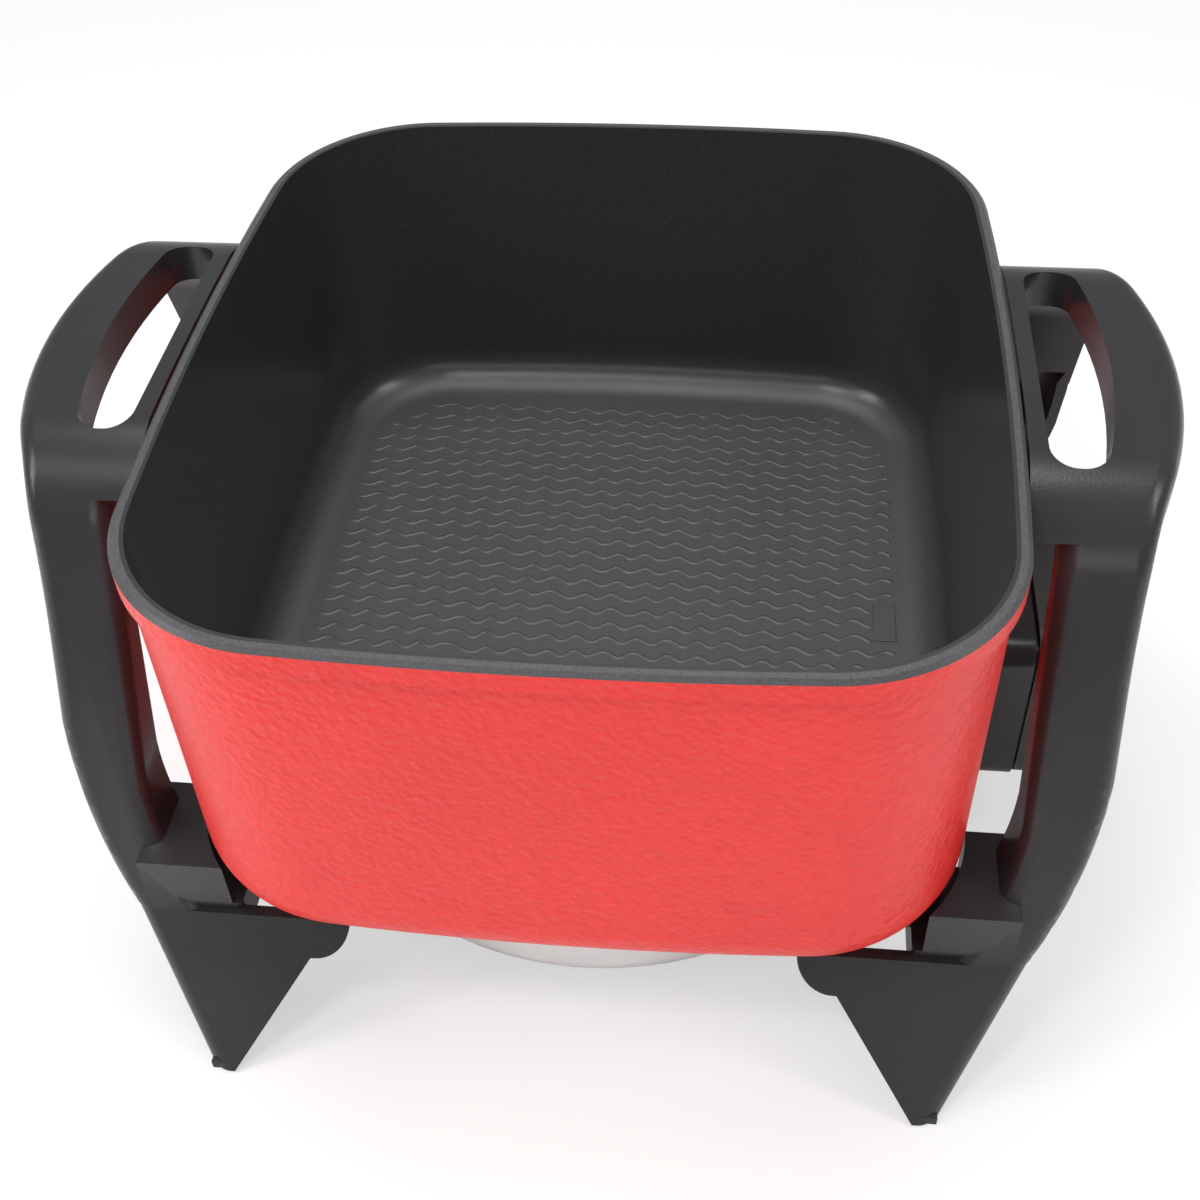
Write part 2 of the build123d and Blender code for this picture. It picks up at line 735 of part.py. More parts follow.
def control_bar(inset, start, end):
    """Bar with the outline of the control's body less an inset."""
    height = control_height - 2 * inset
    return rounded_box_x(control_half - inset, height, control_corner - inset, start, end, socket_z)


def control_shells():
    """Inner shell with the plug nose, and the cover that closes it."""
    wall = control_wall
    body_floor = body_start + wall
    nose = nose_bar(0, nose_start, body_floor) - nose_bar(wall, nose_start + wall, body_floor)
    box = control_bar(0, body_start, control_face)
    box = fillet(box.faces().sort_by(Axis.X)[-1].edges(), control_edge_round)
    box -= control_bar(wall, body_floor, cover_floor)
    box -= nose_bar(wall, body_start - over, body_floor + over)
    across = (-control_half - over, control_half + over)
    inner = box & block((body_start - over, control_seam), across, (0, rim_height))
    cover = box & block((control_seam, control_face + over), across, (0, rim_height))
    inner += nose
    through = (nose_start - over, nose_start + wall + over)
    for y, z in receptacle_places():
        inner -= cylinder_x(pin_radius + receptacle_wall + screw_hole_gap, *through, y, z)
    inner -= cylinder_x(probe_radius + screw_hole_gap, *through, 0, pin_z)
    bore = screw_radius + screw_hole_gap
    for y, z in control_screw_places():
        inner += cylinder_x(control_boss_radius, body_floor - over, control_seam, y, z)
        inner -= cylinder_x(bore, body_floor + over, control_seam + over, y, z)
        cover += cylinder_x(control_boss_radius, control_seam, cover_floor + over, y, z)
        cover -= cylinder_x(bore, control_seam - over, control_face + over, y, z)
        sunk = control_face - head_height
        cover -= cylinder_x(head_radius + screw_hole_gap, sunk, control_face + over, y, z)
    face = (cover_floor - over, control_face + over)
    cover -= cylinder_x(shaft_radius + fit_gap, *face, 0, dial_z)
    cover -= cylinder_x(lens_radius + screw_hole_gap, *face, lamp_y, pin_z + lamp_rise)
    cover -= cylinder_x(gland_radius + screw_hole_gap, *face, 0, pin_z - gland_drop)
    return inner, cover


def receptacle_places():
    """Live, neutral and earth lines, in the plane across the pins."""
    return [(-pin_y, pin_z), (pin_y, pin_z), (0, earth_z)]


def control_screw_places():
    """Three screws of the control, clear of its lamp."""
    low, high = socket_z - control_screw_z, socket_z + control_screw_z
    return [(-control_screw_y, low), (control_screw_y, low), (-control_screw_y, high)]


def receptacle(y, z):
    """Spring sleeve that grips one pin."""
    sleeve = cylinder_x(pin_radius + receptacle_wall, nose_start, receptacle_end, y, z)
    return sleeve - cylinder_x(pin_radius + fit_gap, nose_start - over, receptacle_end - receptacle_cap, y, z)


def thermostat_probe():
    """Closed tube that reaches into the boss under the cooking floor."""
    probe = cylinder_x(probe_radius, probe_tip, probe_seat, 0, pin_z)
    return chamfer(probe.edges().group_by(Axis.X)[0], probe_chamfer)


def thermostat_block():
    """Switch block between the probe and the shaft of the dial."""
    length, width, height = switch_size
    return block(
        (probe_seat, probe_seat + length),
        (-width / 2, width / 2),
        (pin_z - height / 2, pin_z + height / 2),
    )


def control_dial():
    """Dial with a skirt, a hub and a grip bar across it."""
    start = control_face + dial_gap
    skirt = cylinder_x(dial_radius, start, start + dial_skirt, 0, dial_z)
    skirt = chamfer(skirt.edges().group_by(Axis.X)[-1], dial_chamfer)
    hub = cylinder_x(dial_radius - hub_inset, start, start + dial_skirt + dial_hub, 0, dial_z)
    reach = dial_radius - grip_end
    face = Plane.YZ * Pos(0, dial_z) * SlotOverall(2 * reach, dial_grip, rotation=90)
    bar = Pos(start, 0, 0) * extrude(face, amount=dial_depth)
    bar = chamfer(bar.faces().sort_by(Axis.X)[-1].edges(), dial_chamfer)
    dial = skirt + hub + bar
    return dial - cylinder_x(shaft_radius, start - over, start + dial_depth - dial_cap, 0, dial_z)


def dial_shaft():
    """Shaft from the switch block to the dial."""
    seat = probe_seat + switch_size[0] + shaft_gap
    return cylinder_x(shaft_radius, seat, control_face + dial_gap + dial_depth - dial_cap, 0, dial_z)


def lamp_lens():
    """Lens of the pilot lamp, standing a little out of the cover."""
    lens = cylinder_x(lens_radius, cover_floor, control_face + lens_stand, lamp_y, pin_z + lamp_rise)
    return chamfer(lens.edges().group_by(Axis.X)[-1], lamp_chamfer)


def pilot_lamp():
    """Neon lamp behind the lens."""
    lamp = cylinder_x(lamp_radius, cover_floor - lamp_length, cover_floor, lamp_y, pin_z + lamp_rise)
    return chamfer(lamp.edges().group_by(Axis.X)[0], lamp_chamfer)


def cord_gland():
    """Bush in the cover that the cord passes through."""
    z = pin_z - gland_drop
    outer = control_face + gland_stand
    gland = cylinder_x(gland_radius, outer - gland_length, outer, 0, z)
    gland += cylinder_x(gland_radius + gland_collar, control_face, control_face + gland_collar, 0, z)
    return gland - cylinder_x(gland_bore, outer - gland_length - over, outer + over, 0, z)


def control_screws():
    """Screws that hold the cover to the inner shell."""
    seat = control_face - head_height
    return [Pos(seat, y, z) * Rot(0, 90, 0) * screw(control_screw_length) for y, z in control_screw_places()]


export("pan_body", pan_body())
export("heating_element", heating_element())
export("terminal_bushes", *terminal_bushes())
export("live_pin", contact_pin(tube_end, pin_end, -pin_y, pin_z))
export("neutral_pin", contact_pin(tube_end, pin_end, pin_y, pin_z))
export("earth_pin", contact_pin(shroud_back - earth_bite, pin_end - earth_lead, 0, earth_z))
export("heat_shield", heat_shield())
export(
    "heat_shield_screws",
    *[
        Pos(x, y, shield_top - shield_sheet) * Rot(180, 0, 0) * screw(shield_sheet + shield_bite)
        for x, y in shield_screw_places()
    ],
)

right = bracket()
export("right_bracket", right)
export("left_bracket", left(right))
export("right_bracket_screws", *bracket_screws())
export("left_bracket_screws", *[left(piece) for piece in bracket_screws()])
export("right_foot_pads", *foot_pads())
export("left_foot_pads", *[left(piece) for piece in foot_pads()])

export("socket_shroud", socket_shroud())
export("socket_shroud_screws", *shroud_screws())

inner_shell, cover = control_shells()
export("control_inner_shell", inner_shell)
export("control_cover", cover)
export("control_screws", *control_screws())
export("live_receptacle", receptacle(-pin_y, pin_z))
export("neutral_receptacle", receptacle(pin_y, pin_z))
export("earth_receptacle", receptacle(0, earth_z))
export("thermostat_probe", thermostat_probe())
export("thermostat_block", thermostat_block())
export("control_dial", control_dial())
export("dial_shaft", dial_shaft())
export("lamp_lens", lamp_lens())
export("pilot_lamp", pilot_lamp())
export("cord_gland", cord_gland())
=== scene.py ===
import bmesh
import bpy
from math import radians, tau
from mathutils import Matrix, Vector


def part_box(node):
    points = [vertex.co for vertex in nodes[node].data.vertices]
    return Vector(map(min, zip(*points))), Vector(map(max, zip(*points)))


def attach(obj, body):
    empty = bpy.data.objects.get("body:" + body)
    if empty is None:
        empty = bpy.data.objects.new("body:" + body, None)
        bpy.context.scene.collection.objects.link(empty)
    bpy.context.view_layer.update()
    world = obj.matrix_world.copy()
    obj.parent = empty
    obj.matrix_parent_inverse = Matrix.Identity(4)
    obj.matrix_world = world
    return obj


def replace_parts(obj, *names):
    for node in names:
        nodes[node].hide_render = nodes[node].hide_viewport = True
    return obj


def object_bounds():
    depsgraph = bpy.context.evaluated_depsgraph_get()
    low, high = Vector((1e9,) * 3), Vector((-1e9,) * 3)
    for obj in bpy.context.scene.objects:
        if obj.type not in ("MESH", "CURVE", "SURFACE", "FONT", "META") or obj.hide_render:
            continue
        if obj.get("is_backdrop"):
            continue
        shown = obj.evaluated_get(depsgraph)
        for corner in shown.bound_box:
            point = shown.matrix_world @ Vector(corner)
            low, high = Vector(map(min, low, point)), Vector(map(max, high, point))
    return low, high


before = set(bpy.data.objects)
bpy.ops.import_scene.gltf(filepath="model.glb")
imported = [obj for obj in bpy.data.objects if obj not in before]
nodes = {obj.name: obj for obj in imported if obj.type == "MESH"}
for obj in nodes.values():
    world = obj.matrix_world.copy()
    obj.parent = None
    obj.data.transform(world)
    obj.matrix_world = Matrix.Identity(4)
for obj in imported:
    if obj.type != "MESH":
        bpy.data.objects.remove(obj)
cad_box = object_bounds()
scene = bpy.context.scene
scene.view_settings.view_transform = "Standard"

# ---- Camera ----
# Stands in front of the skillet, a little to its right and above the lip, and looks down
# into the pan. The turn has a few degrees of roll.


def linked(name, data):
    """Object that puts a mesh, a lamp or a lens in the scene."""
    made = bpy.data.objects.new(name, data)
    scene.collection.objects.link(made)
    return made


lens = bpy.data.cameras.new("camera")
lens.lens = 47.82
lens.sensor_width = 36.0
camera = linked("camera", lens)
camera.location = (0.0594, -0.4627, 0.5486)
camera.rotation_euler = (0.80031, 0.03019, 0.10248)
scene.camera = camera


# ---- Floor and light ----
# A pale matt table that runs far past the skillet, under soft boxes: a wide one overhead, one
# on each side, a low one in front and a small bright one on the left for the gloss.
class Strand:
    """One value of a finish or of a shape, worked with in plain arithmetic."""

    def __init__(self, tree, socket=None):
        self.tree = tree
        self.socket = socket

    def node(self, kind, settings, inputs, output=0):
        """Add a node with its settings, then the values or strands of its sockets."""
        made = self.tree.nodes.new(kind)
        for name, setting in settings.items():
            setattr(made, name, setting)
        for name, value in inputs.items():
            if isinstance(value, Strand):
                self.tree.links.new(value.socket, made.inputs[name])
            else:
                made.inputs[name].default_value = value
        return Strand(self.tree, made.outputs[output])

    def math(self, operation, *values):
        return self.node("ShaderNodeMath", {"operation": operation}, dict(enumerate(values)))

    def __add__(self, other):
        return self.math("ADD", self, other)

    __radd__ = __add__

    def __sub__(self, other):
        return self.math("SUBTRACT", self, other)

    def __rsub__(self, other):
        return self.math("SUBTRACT", other, self)

    def __mul__(self, other):
        return self.math("MULTIPLY", self, other)

    __rmul__ = __mul__

    def __truediv__(self, other):
        return self.math("DIVIDE", self, other)

    def __rtruediv__(self, other):
        return self.math("DIVIDE", other, self)

    def between(self, low, high):
        """0 below low, 1 above high, and smooth between them."""
        sockets = {"Value": self, "From Min": low, "From Max": high}
        return self.node("ShaderNodeMapRange", {"interpolation_type": "SMOOTHSTEP"}, sockets)

    def colour(self, first, second):
        """Mix of two colours by this strand."""
        sockets = {0: self, 6: first, 7: second}
        return self.node("ShaderNodeMix", {"data_type": "RGBA"}, sockets, 2)

    def noise(self, place, scale, detail=2.0):
        sockets = {"Vector": place, "Scale": scale, "Detail": detail}
        return self.node("ShaderNodeTexNoise", {}, sockets)

    def cells(self, place, scale):
        sockets = {"Vector": place, "Scale": scale}
        return self.node("ShaderNodeTexVoronoi", {"feature": "SMOOTH_F1"}, sockets)

    def relief(self, height, depth):
        """Normal of a surface that stands up by depth metres where height is 1."""
        return self.node("ShaderNodeBump", {}, {"Height": height, "Distance": depth, "Strength": 1.0})


def new_finish(name, **uniform):
    """Material with the values that are the same all over, and its strands' starting point."""
    finish = bpy.data.materials.new(name)
    finish.use_nodes = True
    shader = finish.node_tree.nodes["Principled BSDF"]
    for socket, value in uniform.items():
        shader.inputs[socket.replace("_", " ")].default_value = value
    strand = Strand(finish.node_tree)
    place = strand.node("ShaderNodeTexCoord", {}, {}, "Object")
    return finish, shader, strand, place


def feed(shader, **varying):
    """Lead strands into the shader's sockets."""
    for socket, strand in varying.items():
        strand.tree.links.new(strand.socket, shader.inputs[socket.replace("_", " ")])


def new_piece(name, mesh, finish=None, body=None):
    """Object for a finished mesh that rides with a body."""
    piece = linked(name, mesh)
    if finish:
        mesh.materials.clear()
        mesh.materials.append(finish)
    if body:
        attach(piece, body)
    return piece


table_half = 6.0
table_mesh = bpy.data.meshes.new("table")
corners = [(-1, -1), (1, -1), (1, 1), (-1, 1)]
table_mesh.from_pydata([(x * table_half, y * table_half, 0) for x, y in corners], [], [(0, 1, 2, 3)])
pale = (0.93, 0.93, 0.93, 1)
table_paint, shader, strand, place = new_finish(
    "table_paint", Base_Color=pale, Roughness=0.6, Specular_IOR_Level=0.2
)
fade_start, fade_end = 0.5, 2.2
glow_near, glow_added = 0.5, 0.45
seen = strand.node("ShaderNodeLightPath", {}, {}, "Is Camera Ray")
distance = strand.node("ShaderNodeVectorMath", {"operation": "LENGTH"}, {"Vector": place}, "Value")
whiteness = seen * (glow_near + distance.between(fade_start, fade_end) * glow_added)
white = (1, 1, 1, 1)
glow = strand.node("ShaderNodeEmission", {}, {"Color": white, "Strength": 1.0})
lit = Strand(strand.tree, shader.outputs[0])
mixed = strand.node("ShaderNodeMixShader", {}, {0: whiteness, 1: lit, 2: glow})
feed(strand.tree.nodes["Material Output"], Surface=mixed)
new_piece("table", table_mesh, table_paint, None)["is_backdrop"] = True

world = bpy.data.worlds.new("room")
world.use_nodes = True
scene.world = world
background = world.node_tree.nodes["Background"]
background.inputs["Color"].default_value = white
room_light = 0.4
shown = Strand(world.node_tree).node("ShaderNodeLightPath", {}, {}, "Is Camera Ray")
feed(background, Strength=shown * (1 - room_light) + room_light)


def soft_box(name, place, aim, size, watts):
    """Rectangular lamp that faces a point."""
    lamp = bpy.data.lights.new(name, "AREA")
    lamp.shape = "RECTANGLE"
    lamp.size, lamp.size_y = size
    lamp.energy = watts
    box = linked(name, lamp)
    box.location = place
    box.rotation_euler = (Vector(aim) - Vector(place)).to_track_quat("-Z", "Y").to_euler()


soft_box("overhead_box", (-0.1, 0.25, 1.6), (0, 0, 0.1), (0.9, 0.7), watts=15)
soft_box("left_box", (-1.2, -0.5, 1.0), (0, 0, 0.12), (0.35, 0.9), watts=7)
soft_box("right_box", (1.2, -0.2, 1.2), (0, 0, 0.12), (0.3, 0.8), watts=6)
soft_box("front_box", (0.1, -1.6, 0.7), (0, 0, 0.12), (1.2, 0.5), watts=4)
soft_box("key_box", (-0.3, -0.55, 1.15), (0, 0.05, 0.12), (0.22, 0.16), watts=3)

# ---- Pan ----
# One die casting, with crinkled red enamel outside, a bare ground lip, a black non-stick coat
# inside and plain cast metal underneath. The coat is duller on the flat of the cooking floor, and
# is painted paler there: painted light for the light that falls on the floor from above.


def joined(node, name):
    """Copy of a node's mesh with its triangles joined, smooth but for its real edges."""
    same_point, no_length = 2e-6, 1e-7
    sharp = radians(30)
    mesh = nodes[node].data.copy()
    mesh.name = name
    for layer in ("custom_normal", "sharp_edge", "sharp_face"):
        if layer in mesh.attributes:
            mesh.attributes.remove(mesh.attributes[layer])
    shape = bmesh.new()
    shape.from_mesh(mesh)
    bmesh.ops.remove_doubles(shape, verts=shape.verts, dist=same_point)
    bmesh.ops.dissolve_degenerate(shape, edges=shape.edges, dist=no_length)
    for face in shape.faces:
        face.smooth = True
    for edge in shape.edges:
        edge.smooth = edge.calc_face_angle(0) < sharp
    shape.to_mesh(mesh)
    shape.free()
    return mesh


floor_depth = 0.126
wall_depth = 0.131
skirt_height = 0.0275
lip_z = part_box("pan_body")[1].z
floor_z = lip_z - floor_depth
base_z = lip_z - wall_depth
skirt_z = base_z - skirt_height

enamel, shader, strand, place = new_finish(
    "red_crinkle_enamel", Coat_Weight=0.12, Coat_Roughness=0.2, Specular_IOR_Level=0.35
)
folds = strand.cells(place, 420.0)
ripple = strand.noise(place, 260.0, 4.0)
swell = strand.noise(place, 14.0)
shade = (swell * 0.5 + ripple * 0.5).between(0.3, 0.75)
feed(
    shader,
    Base_Color=shade.colour((0.73, 0.020, 0.014, 1), (0.83, 0.028, 0.021, 1)),
    Roughness=0.36 + swell * 0.12,
    Normal=strand.relief(folds * 0.45 + ripple * 0.55, 0.0012),
)

flat_top, turn_top, painted_light_top = floor_z + 0.0005, floor_z + 0.008, floor_z + 0.021
non_stick, shader, strand, place = new_finish("black_non_stick", Specular_IOR_Level=0.55)
speckle = strand.noise(place, 2400.0, 3.0)
cloud = strand.noise(place, 22.0)
height = strand.node("ShaderNodeSeparateXYZ", {}, {"Vector": place}, "Z")
fleck = speckle.between(0.35, 0.7)
# Painted light: the flat of the floor gets a paler black than the walls, for the light that falls on it.
wall_black = fleck.colour((0.020, 0.021, 0.023, 1), (0.034, 0.036, 0.039, 1))
floor_painted_light = fleck.colour((0.034, 0.036, 0.037, 1), (0.056, 0.059, 0.060, 1))
feed(
    shader,
    Base_Color=height.between(flat_top, painted_light_top).colour(floor_painted_light, wall_black),
    Roughness=0.42 - height.between(flat_top, turn_top) * 0.22 + cloud * 0.1,
    Normal=strand.relief(speckle, 0.00003),
)

ground_lip, shader, strand, place = new_finish("ground_lip")
brush = strand.noise(place, 1500.0)
coat_edge = (0.016, 0.017, 0.018, 1)
ground = brush.between(0.3, 0.7).colour((0.045, 0.045, 0.048, 1), (0.075, 0.075, 0.08, 1))
bare = strand.node("ShaderNodeAttribute", {"attribute_name": "across_lip"}, {}, "Fac").between(0.34, 0.42)
feed(
    shader,
    Base_Color=bare.colour(coat_edge, ground),
    Roughness=0.36 + brush * 0.1,
    Normal=strand.relief(brush, 0.00002),
)

cast_metal, shader, strand, place = new_finish("cast_metal", Metallic=1.0)
sand = strand.noise(place, 700.0, 3.0)
feed(
    shader,
    Base_Color=strand.noise(place, 30.0).colour((0.36, 0.36, 0.37, 1), (0.46, 0.46, 0.47, 1)),
    Roughness=0.42 + sand * 0.2,
    Normal=strand.relief(sand, 0.00008),
)

pan_mesh = joined("pan_body", "pan")
pan_piece = new_piece("pan", pan_mesh, enamel, "skillet")
for finish in (non_stick, ground_lip, cast_metal):
    pan_mesh.materials.append(finish)
coat_index, lip_index, cast_index = 1, 2, 3
lip_low_z = lip_z - 0.0016
coat_low_z = base_z + 0.004
coat_half_x, coat_half_y = 0.1427, 0.1572
under_half_x, under_half_y = 0.1, 0.11
tolerance = 0.0002
coated = set()
for face in pan_mesh.polygons:
    x, y, z = face.center
    inward = face.normal.x * x + face.normal.y * y < 0
    upward = face.normal.z > 0.5
    in_wall = abs(x) < coat_half_x and abs(y) < coat_half_y
    in_base = abs(x) < under_half_x and abs(y) < under_half_y
    if z > lip_low_z:
        face.material_index = lip_index
    elif z > coat_low_z and (inward or upward) and in_wall:
        face.material_index = coat_index
        coated.update(face.vertices)
    elif z < skirt_z + tolerance or (z < base_z + tolerance and inward) or in_base:
        face.material_index = cast_index
across_lip = pan_mesh.attributes.new("across_lip", "FLOAT", "POINT")
for index, spot in enumerate(across_lip.data):
    spot.value = 0.0 if index in coated else 1.0
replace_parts(pan_piece, "pan_body")

# ---- Cooking floor relief ----
# Cast with the floor: rows of small raised waves that run across its flat and stop at its
# rounded corners, and a plain rectangular pad at the right-hand edge.


def settled(rough, name):
    """Plain mesh of an object with its modifiers worked in. The object itself goes."""
    bpy.context.view_layer.update()
    mesh = bpy.data.meshes.new_from_object(rough.evaluated_get(bpy.context.evaluated_depsgraph_get()))
    mesh.name = name
    bpy.data.objects.remove(rough)
    return mesh


def new_tree(name, sizes):
    """Geometry tree and the strands of its named inputs."""
    tree = bpy.data.node_groups.new(name, "GeometryNodeTree")
    for title in sizes:
        tree.interface.new_socket(title, in_out="INPUT", socket_type="NodeSocketFloat")
    tree.interface.new_socket("Geometry", in_out="OUTPUT", socket_type="NodeSocketGeometry")
    given = tree.nodes.new("NodeGroupInput")
    return Strand(tree), [Strand(tree, given.outputs[title]) for title in sizes]


def end_tree(shape, finish):
    """Realize what was instanced, dress it and lead it out."""
    real = shape.node("GeometryNodeRealizeInstances", {}, {"Geometry": shape})
    dressed = shape.node("GeometryNodeSetMaterial", {}, {"Geometry": real, "Material": finish})
    shape.tree.links.new(dressed.socket, shape.tree.nodes.new("NodeGroupOutput").inputs[0])


def grown(name, tree, sizes, body):
    """Piece made by a geometry tree from its named inputs."""
    seed = linked("seed_" + name, bpy.data.meshes.new("seed_" + name))
    maker = seed.modifiers.new("maker", "NODES")
    maker.node_group = tree
    for item in tree.interface.items_tree:
        if item.in_out == "INPUT":
            maker[item.identifier] = sizes[item.name]
    return new_piece(name, settled(seed, name), None, body)


def add_block(shape, middle, size):
    """Add a box about a middle point to a shape."""
    for vertex in bmesh.ops.create_cube(shape, size=1.0)["verts"]:
        vertex.co = [at + side * reach for at, side, reach in zip(middle, vertex.co, size)]


def mesh_of(shape, name):
    """Plain mesh of a shape. The shape itself goes."""
    mesh = bpy.data.meshes.new(name)
    shape.to_mesh(mesh)
    shape.free()
    return mesh


pad_middle = (0.1125, -0.006, floor_z)
pad_size = (0.009, 0.021, 0.001)
pad_rounding = 0.0003
clear_of_pad_x, clear_of_pad_y = 0.107, 0.0135

wave_sizes = {
    "Half Width": 0.116,
    "Half Length": 0.130,
    "Corner": 0.045,
    "Pitch": 0.0082,
    "Wavelength": 0.0122,
    "Swing": 0.0016,
    "Stroke": 0.0022,
    "Level": floor_z - 0.0018,
}
kit, inputs = new_tree("wave_rows", wave_sizes)
half_width, half_length, corner, pitch, wavelength, swing, stroke, level = inputs
start = kit.node("ShaderNodeCombineXYZ", {}, {"X": 0 - half_width, "Y": 0 - half_length, "Z": level})
end = kit.node("ShaderNodeCombineXYZ", {}, {"X": half_width, "Y": 0 - half_length, "Z": level})
row = kit.node("GeometryNodeCurvePrimitiveLine", {}, {"Start": start, "End": end})
short_step = wavelength * 0.0833
row = kit.node("GeometryNodeResampleCurve", {"mode": "LENGTH"}, {"Curve": row, "Length": short_step})
step = kit.node("ShaderNodeCombineXYZ", {}, {"Y": pitch})
count = kit.math("FLOOR", half_length * 2 / pitch) + 1
rows = kit.node("GeometryNodeMeshLine", {}, {"Count": count, "Offset": step})
rows = kit.node("GeometryNodeInstanceOnPoints", {}, {"Points": rows, "Instance": row})
rows = kit.node("GeometryNodeRealizeInstances", {}, {"Geometry": rows})
spot = kit.node("GeometryNodeInputPosition", {}, {})
along = kit.node("ShaderNodeSeparateXYZ", {}, {"Vector": spot}, "X")
across = kit.node("ShaderNodeSeparateXYZ", {}, {"Vector": spot}, "Y")
phase_drift, row_drift = 5, 0.5
waver = kit.noise(spot, 45.0) - 0.5
wave = kit.math("SINE", along * tau / wavelength + waver * phase_drift) * swing
wave = wave + waver * pitch * row_drift
shift = kit.node("ShaderNodeCombineXYZ", {}, {"Y": wave})
rows = kit.node("GeometryNodeSetPosition", {}, {"Geometry": rows, "Offset": shift})
past_x = kit.math("MAXIMUM", kit.math("ABSOLUTE", along) - (half_width - corner), 0)
past_y = kit.math("MAXIMUM", kit.math("ABSOLUTE", across) - (half_length - corner), 0)
past_corner = kit.math("GREATER_THAN", kit.math("SQRT", past_x * past_x + past_y * past_y), corner)
near_pad_y = kit.math("LESS_THAN", kit.math("ABSOLUTE", across - pad_middle[1]), clear_of_pad_y)
near_pad = near_pad_y * kit.math("GREATER_THAN", along, clear_of_pad_x)
left_out = {"Geometry": rows, "Selection": past_corner + near_pad}
rows = kit.node("GeometryNodeDeleteGeometry", {"domain": "POINT"}, left_out)
rim = kit.node("GeometryNodeCurvePrimitiveCircle", {}, {"Resolution": 8, "Radius": stroke})
rows = kit.node("GeometryNodeCurveToMesh", {}, {"Curve": rows, "Profile Curve": rim})
rows = kit.node("GeometryNodeSetShadeSmooth", {}, {"Geometry": rows})
end_tree(rows, non_stick)
grown("floor_waves", kit.tree, wave_sizes, "skillet")

pad = bmesh.new()
add_block(pad, pad_middle, pad_size)
bmesh.ops.bevel(pad, geom=pad.edges[:], offset=pad_rounding, segments=2, affect="EDGES", profile=0.5)
new_piece("floor_pad", mesh_of(pad, "floor_pad"), non_stick, "skillet")

# ---- Heat shield ----
# A dish pressed from thin bright sheet with a soft rolled grain. Its flange is held to the
# underside of the pan by four screws.
bright_sheet, shader, strand, place = new_finish("bright_sheet", Metallic=0.85)
roll = strand.node("ShaderNodeMapping", {}, {"Vector": place, "Scale": (40.0, 900.0, 40.0)})
streak = strand.noise(roll, 1.0, 3.0)
feed(
    shader,
    Base_Color=streak.colour((0.74, 0.75, 0.75, 1), (0.84, 0.85, 0.85, 1)),
    Roughness=0.3 + streak * 0.14,
    Normal=strand.relief(streak, 0.00003),
)
for slot in nodes["heat_shield"].material_slots:
    slot.material = bright_sheet

# ---- Brackets ----
# Each bracket is one phenolic moulding: loop handle, two legs and their feet. Its flat faces
# are whole, and every edge between them is eased, as a mould leaves it.


def eased(node, name, width):
    """Moulding with its sharp edges rounded off by a small width."""
    rough = linked("rough_" + name, joined(node, "rough_" + name))
    merge = rough.modifiers.new("merge", "DECIMATE")
    merge.decimate_type = "DISSOLVE"
    merge.angle_limit = radians(0.5)
    ease = rough.modifiers.new("ease", "BEVEL")
    ease.width = width
    ease.segments = 3
    ease.limit_method = "ANGLE"
    ease.angle_limit = radians(32)
    weigh = rough.modifiers.new("weigh", "WEIGHTED_NORMAL")
    weigh.keep_sharp = True
    return settled(rough, name)


bakelite, shader, strand, place = new_finish("satin_bakelite", Specular_IOR_Level=0.4)
mottle = strand.noise(place, 18.0)
skin_grain = strand.noise(place, 1300.0)
feed(
    shader,
    Base_Color=mottle.colour((0.016, 0.016, 0.017, 1), (0.026, 0.026, 0.028, 1)),
    Roughness=0.22 + mottle * 0.12,
    Normal=strand.relief(skin_grain, 0.00004),
)
mould_rounding = 0.0008
for side in ("right", "left"):
    eased_mesh = eased(side + "_bracket", side + "_moulding", mould_rounding)
    moulding = new_piece(side + "_moulding", eased_mesh, bakelite, "skillet")
    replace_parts(moulding, side + "_bracket")

# ---- Heating tube, contacts and heat control ----
# Pins, probe and dial shaft are plated, the sleeves brass, the tube a dark heated sheath, the
# bushes and the switch block steatite, and the pads and the cord bush rubber. The control's
# shells and dial are a textured moulding with a clear amber lens.


def grained(name, dark, light, scale, smooth, added, depth=None, detail=3.0, **uniform):
    """Finish whose colour, roughness and relief follow one fine grain."""
    finish, shader, strand, place = new_finish(name, **uniform)
    grain = strand.noise(place, scale, detail)
    feed(shader, Base_Color=grain.colour(dark, light), Roughness=smooth + grain * added)
    if depth:
        feed(shader, Normal=strand.relief(grain, depth))
    return finish


plated = grained(
    "zinc_plate", dark=(0.52, 0.53, 0.54, 1), light=(0.66, 0.67, 0.67, 1),
    scale=400.0, smooth=0.24, added=0.16, depth=0.00002, Metallic=1.0,
)
brass_sheet = grained(
    "brass_sheet", dark=(0.60, 0.42, 0.16, 1), light=(0.80, 0.62, 0.30, 1),
    scale=300.0, smooth=0.25, added=0.2, Metallic=1.0,
)
sheath = grained(
    "heating_sheath", dark=(0.20, 0.19, 0.185, 1), light=(0.36, 0.34, 0.32, 1),
    scale=60.0, smooth=0.4, added=0.2, Metallic=1.0,
)
steatite = grained(
    "steatite", dark=(0.70, 0.68, 0.62, 1), light=(0.80, 0.78, 0.72, 1),
    scale=500.0, smooth=0.55, added=0.2, depth=0.00003,
)
rubber = grained(
    "black_rubber", dark=(0.018, 0.018, 0.018, 1), light=(0.034, 0.034, 0.034, 1),
    scale=350.0, smooth=0.65, added=0.15, depth=0.00004,
)
control_plastic, shader, strand, place = new_finish("control_plastic")
spark = strand.noise(place, 1600.0)
feed(
    shader,
    Base_Color=strand.noise(place, 20.0).colour((0.020, 0.020, 0.021, 1), (0.030, 0.030, 0.031, 1)),
    Roughness=0.42 + spark * 0.1,
    Normal=strand.relief(spark, 0.00005),
)
amber = new_finish(
    "amber_lens", Base_Color=(0.95, 0.24, 0.03, 1), Transmission_Weight=0.25, Roughness=0.12
)[0]
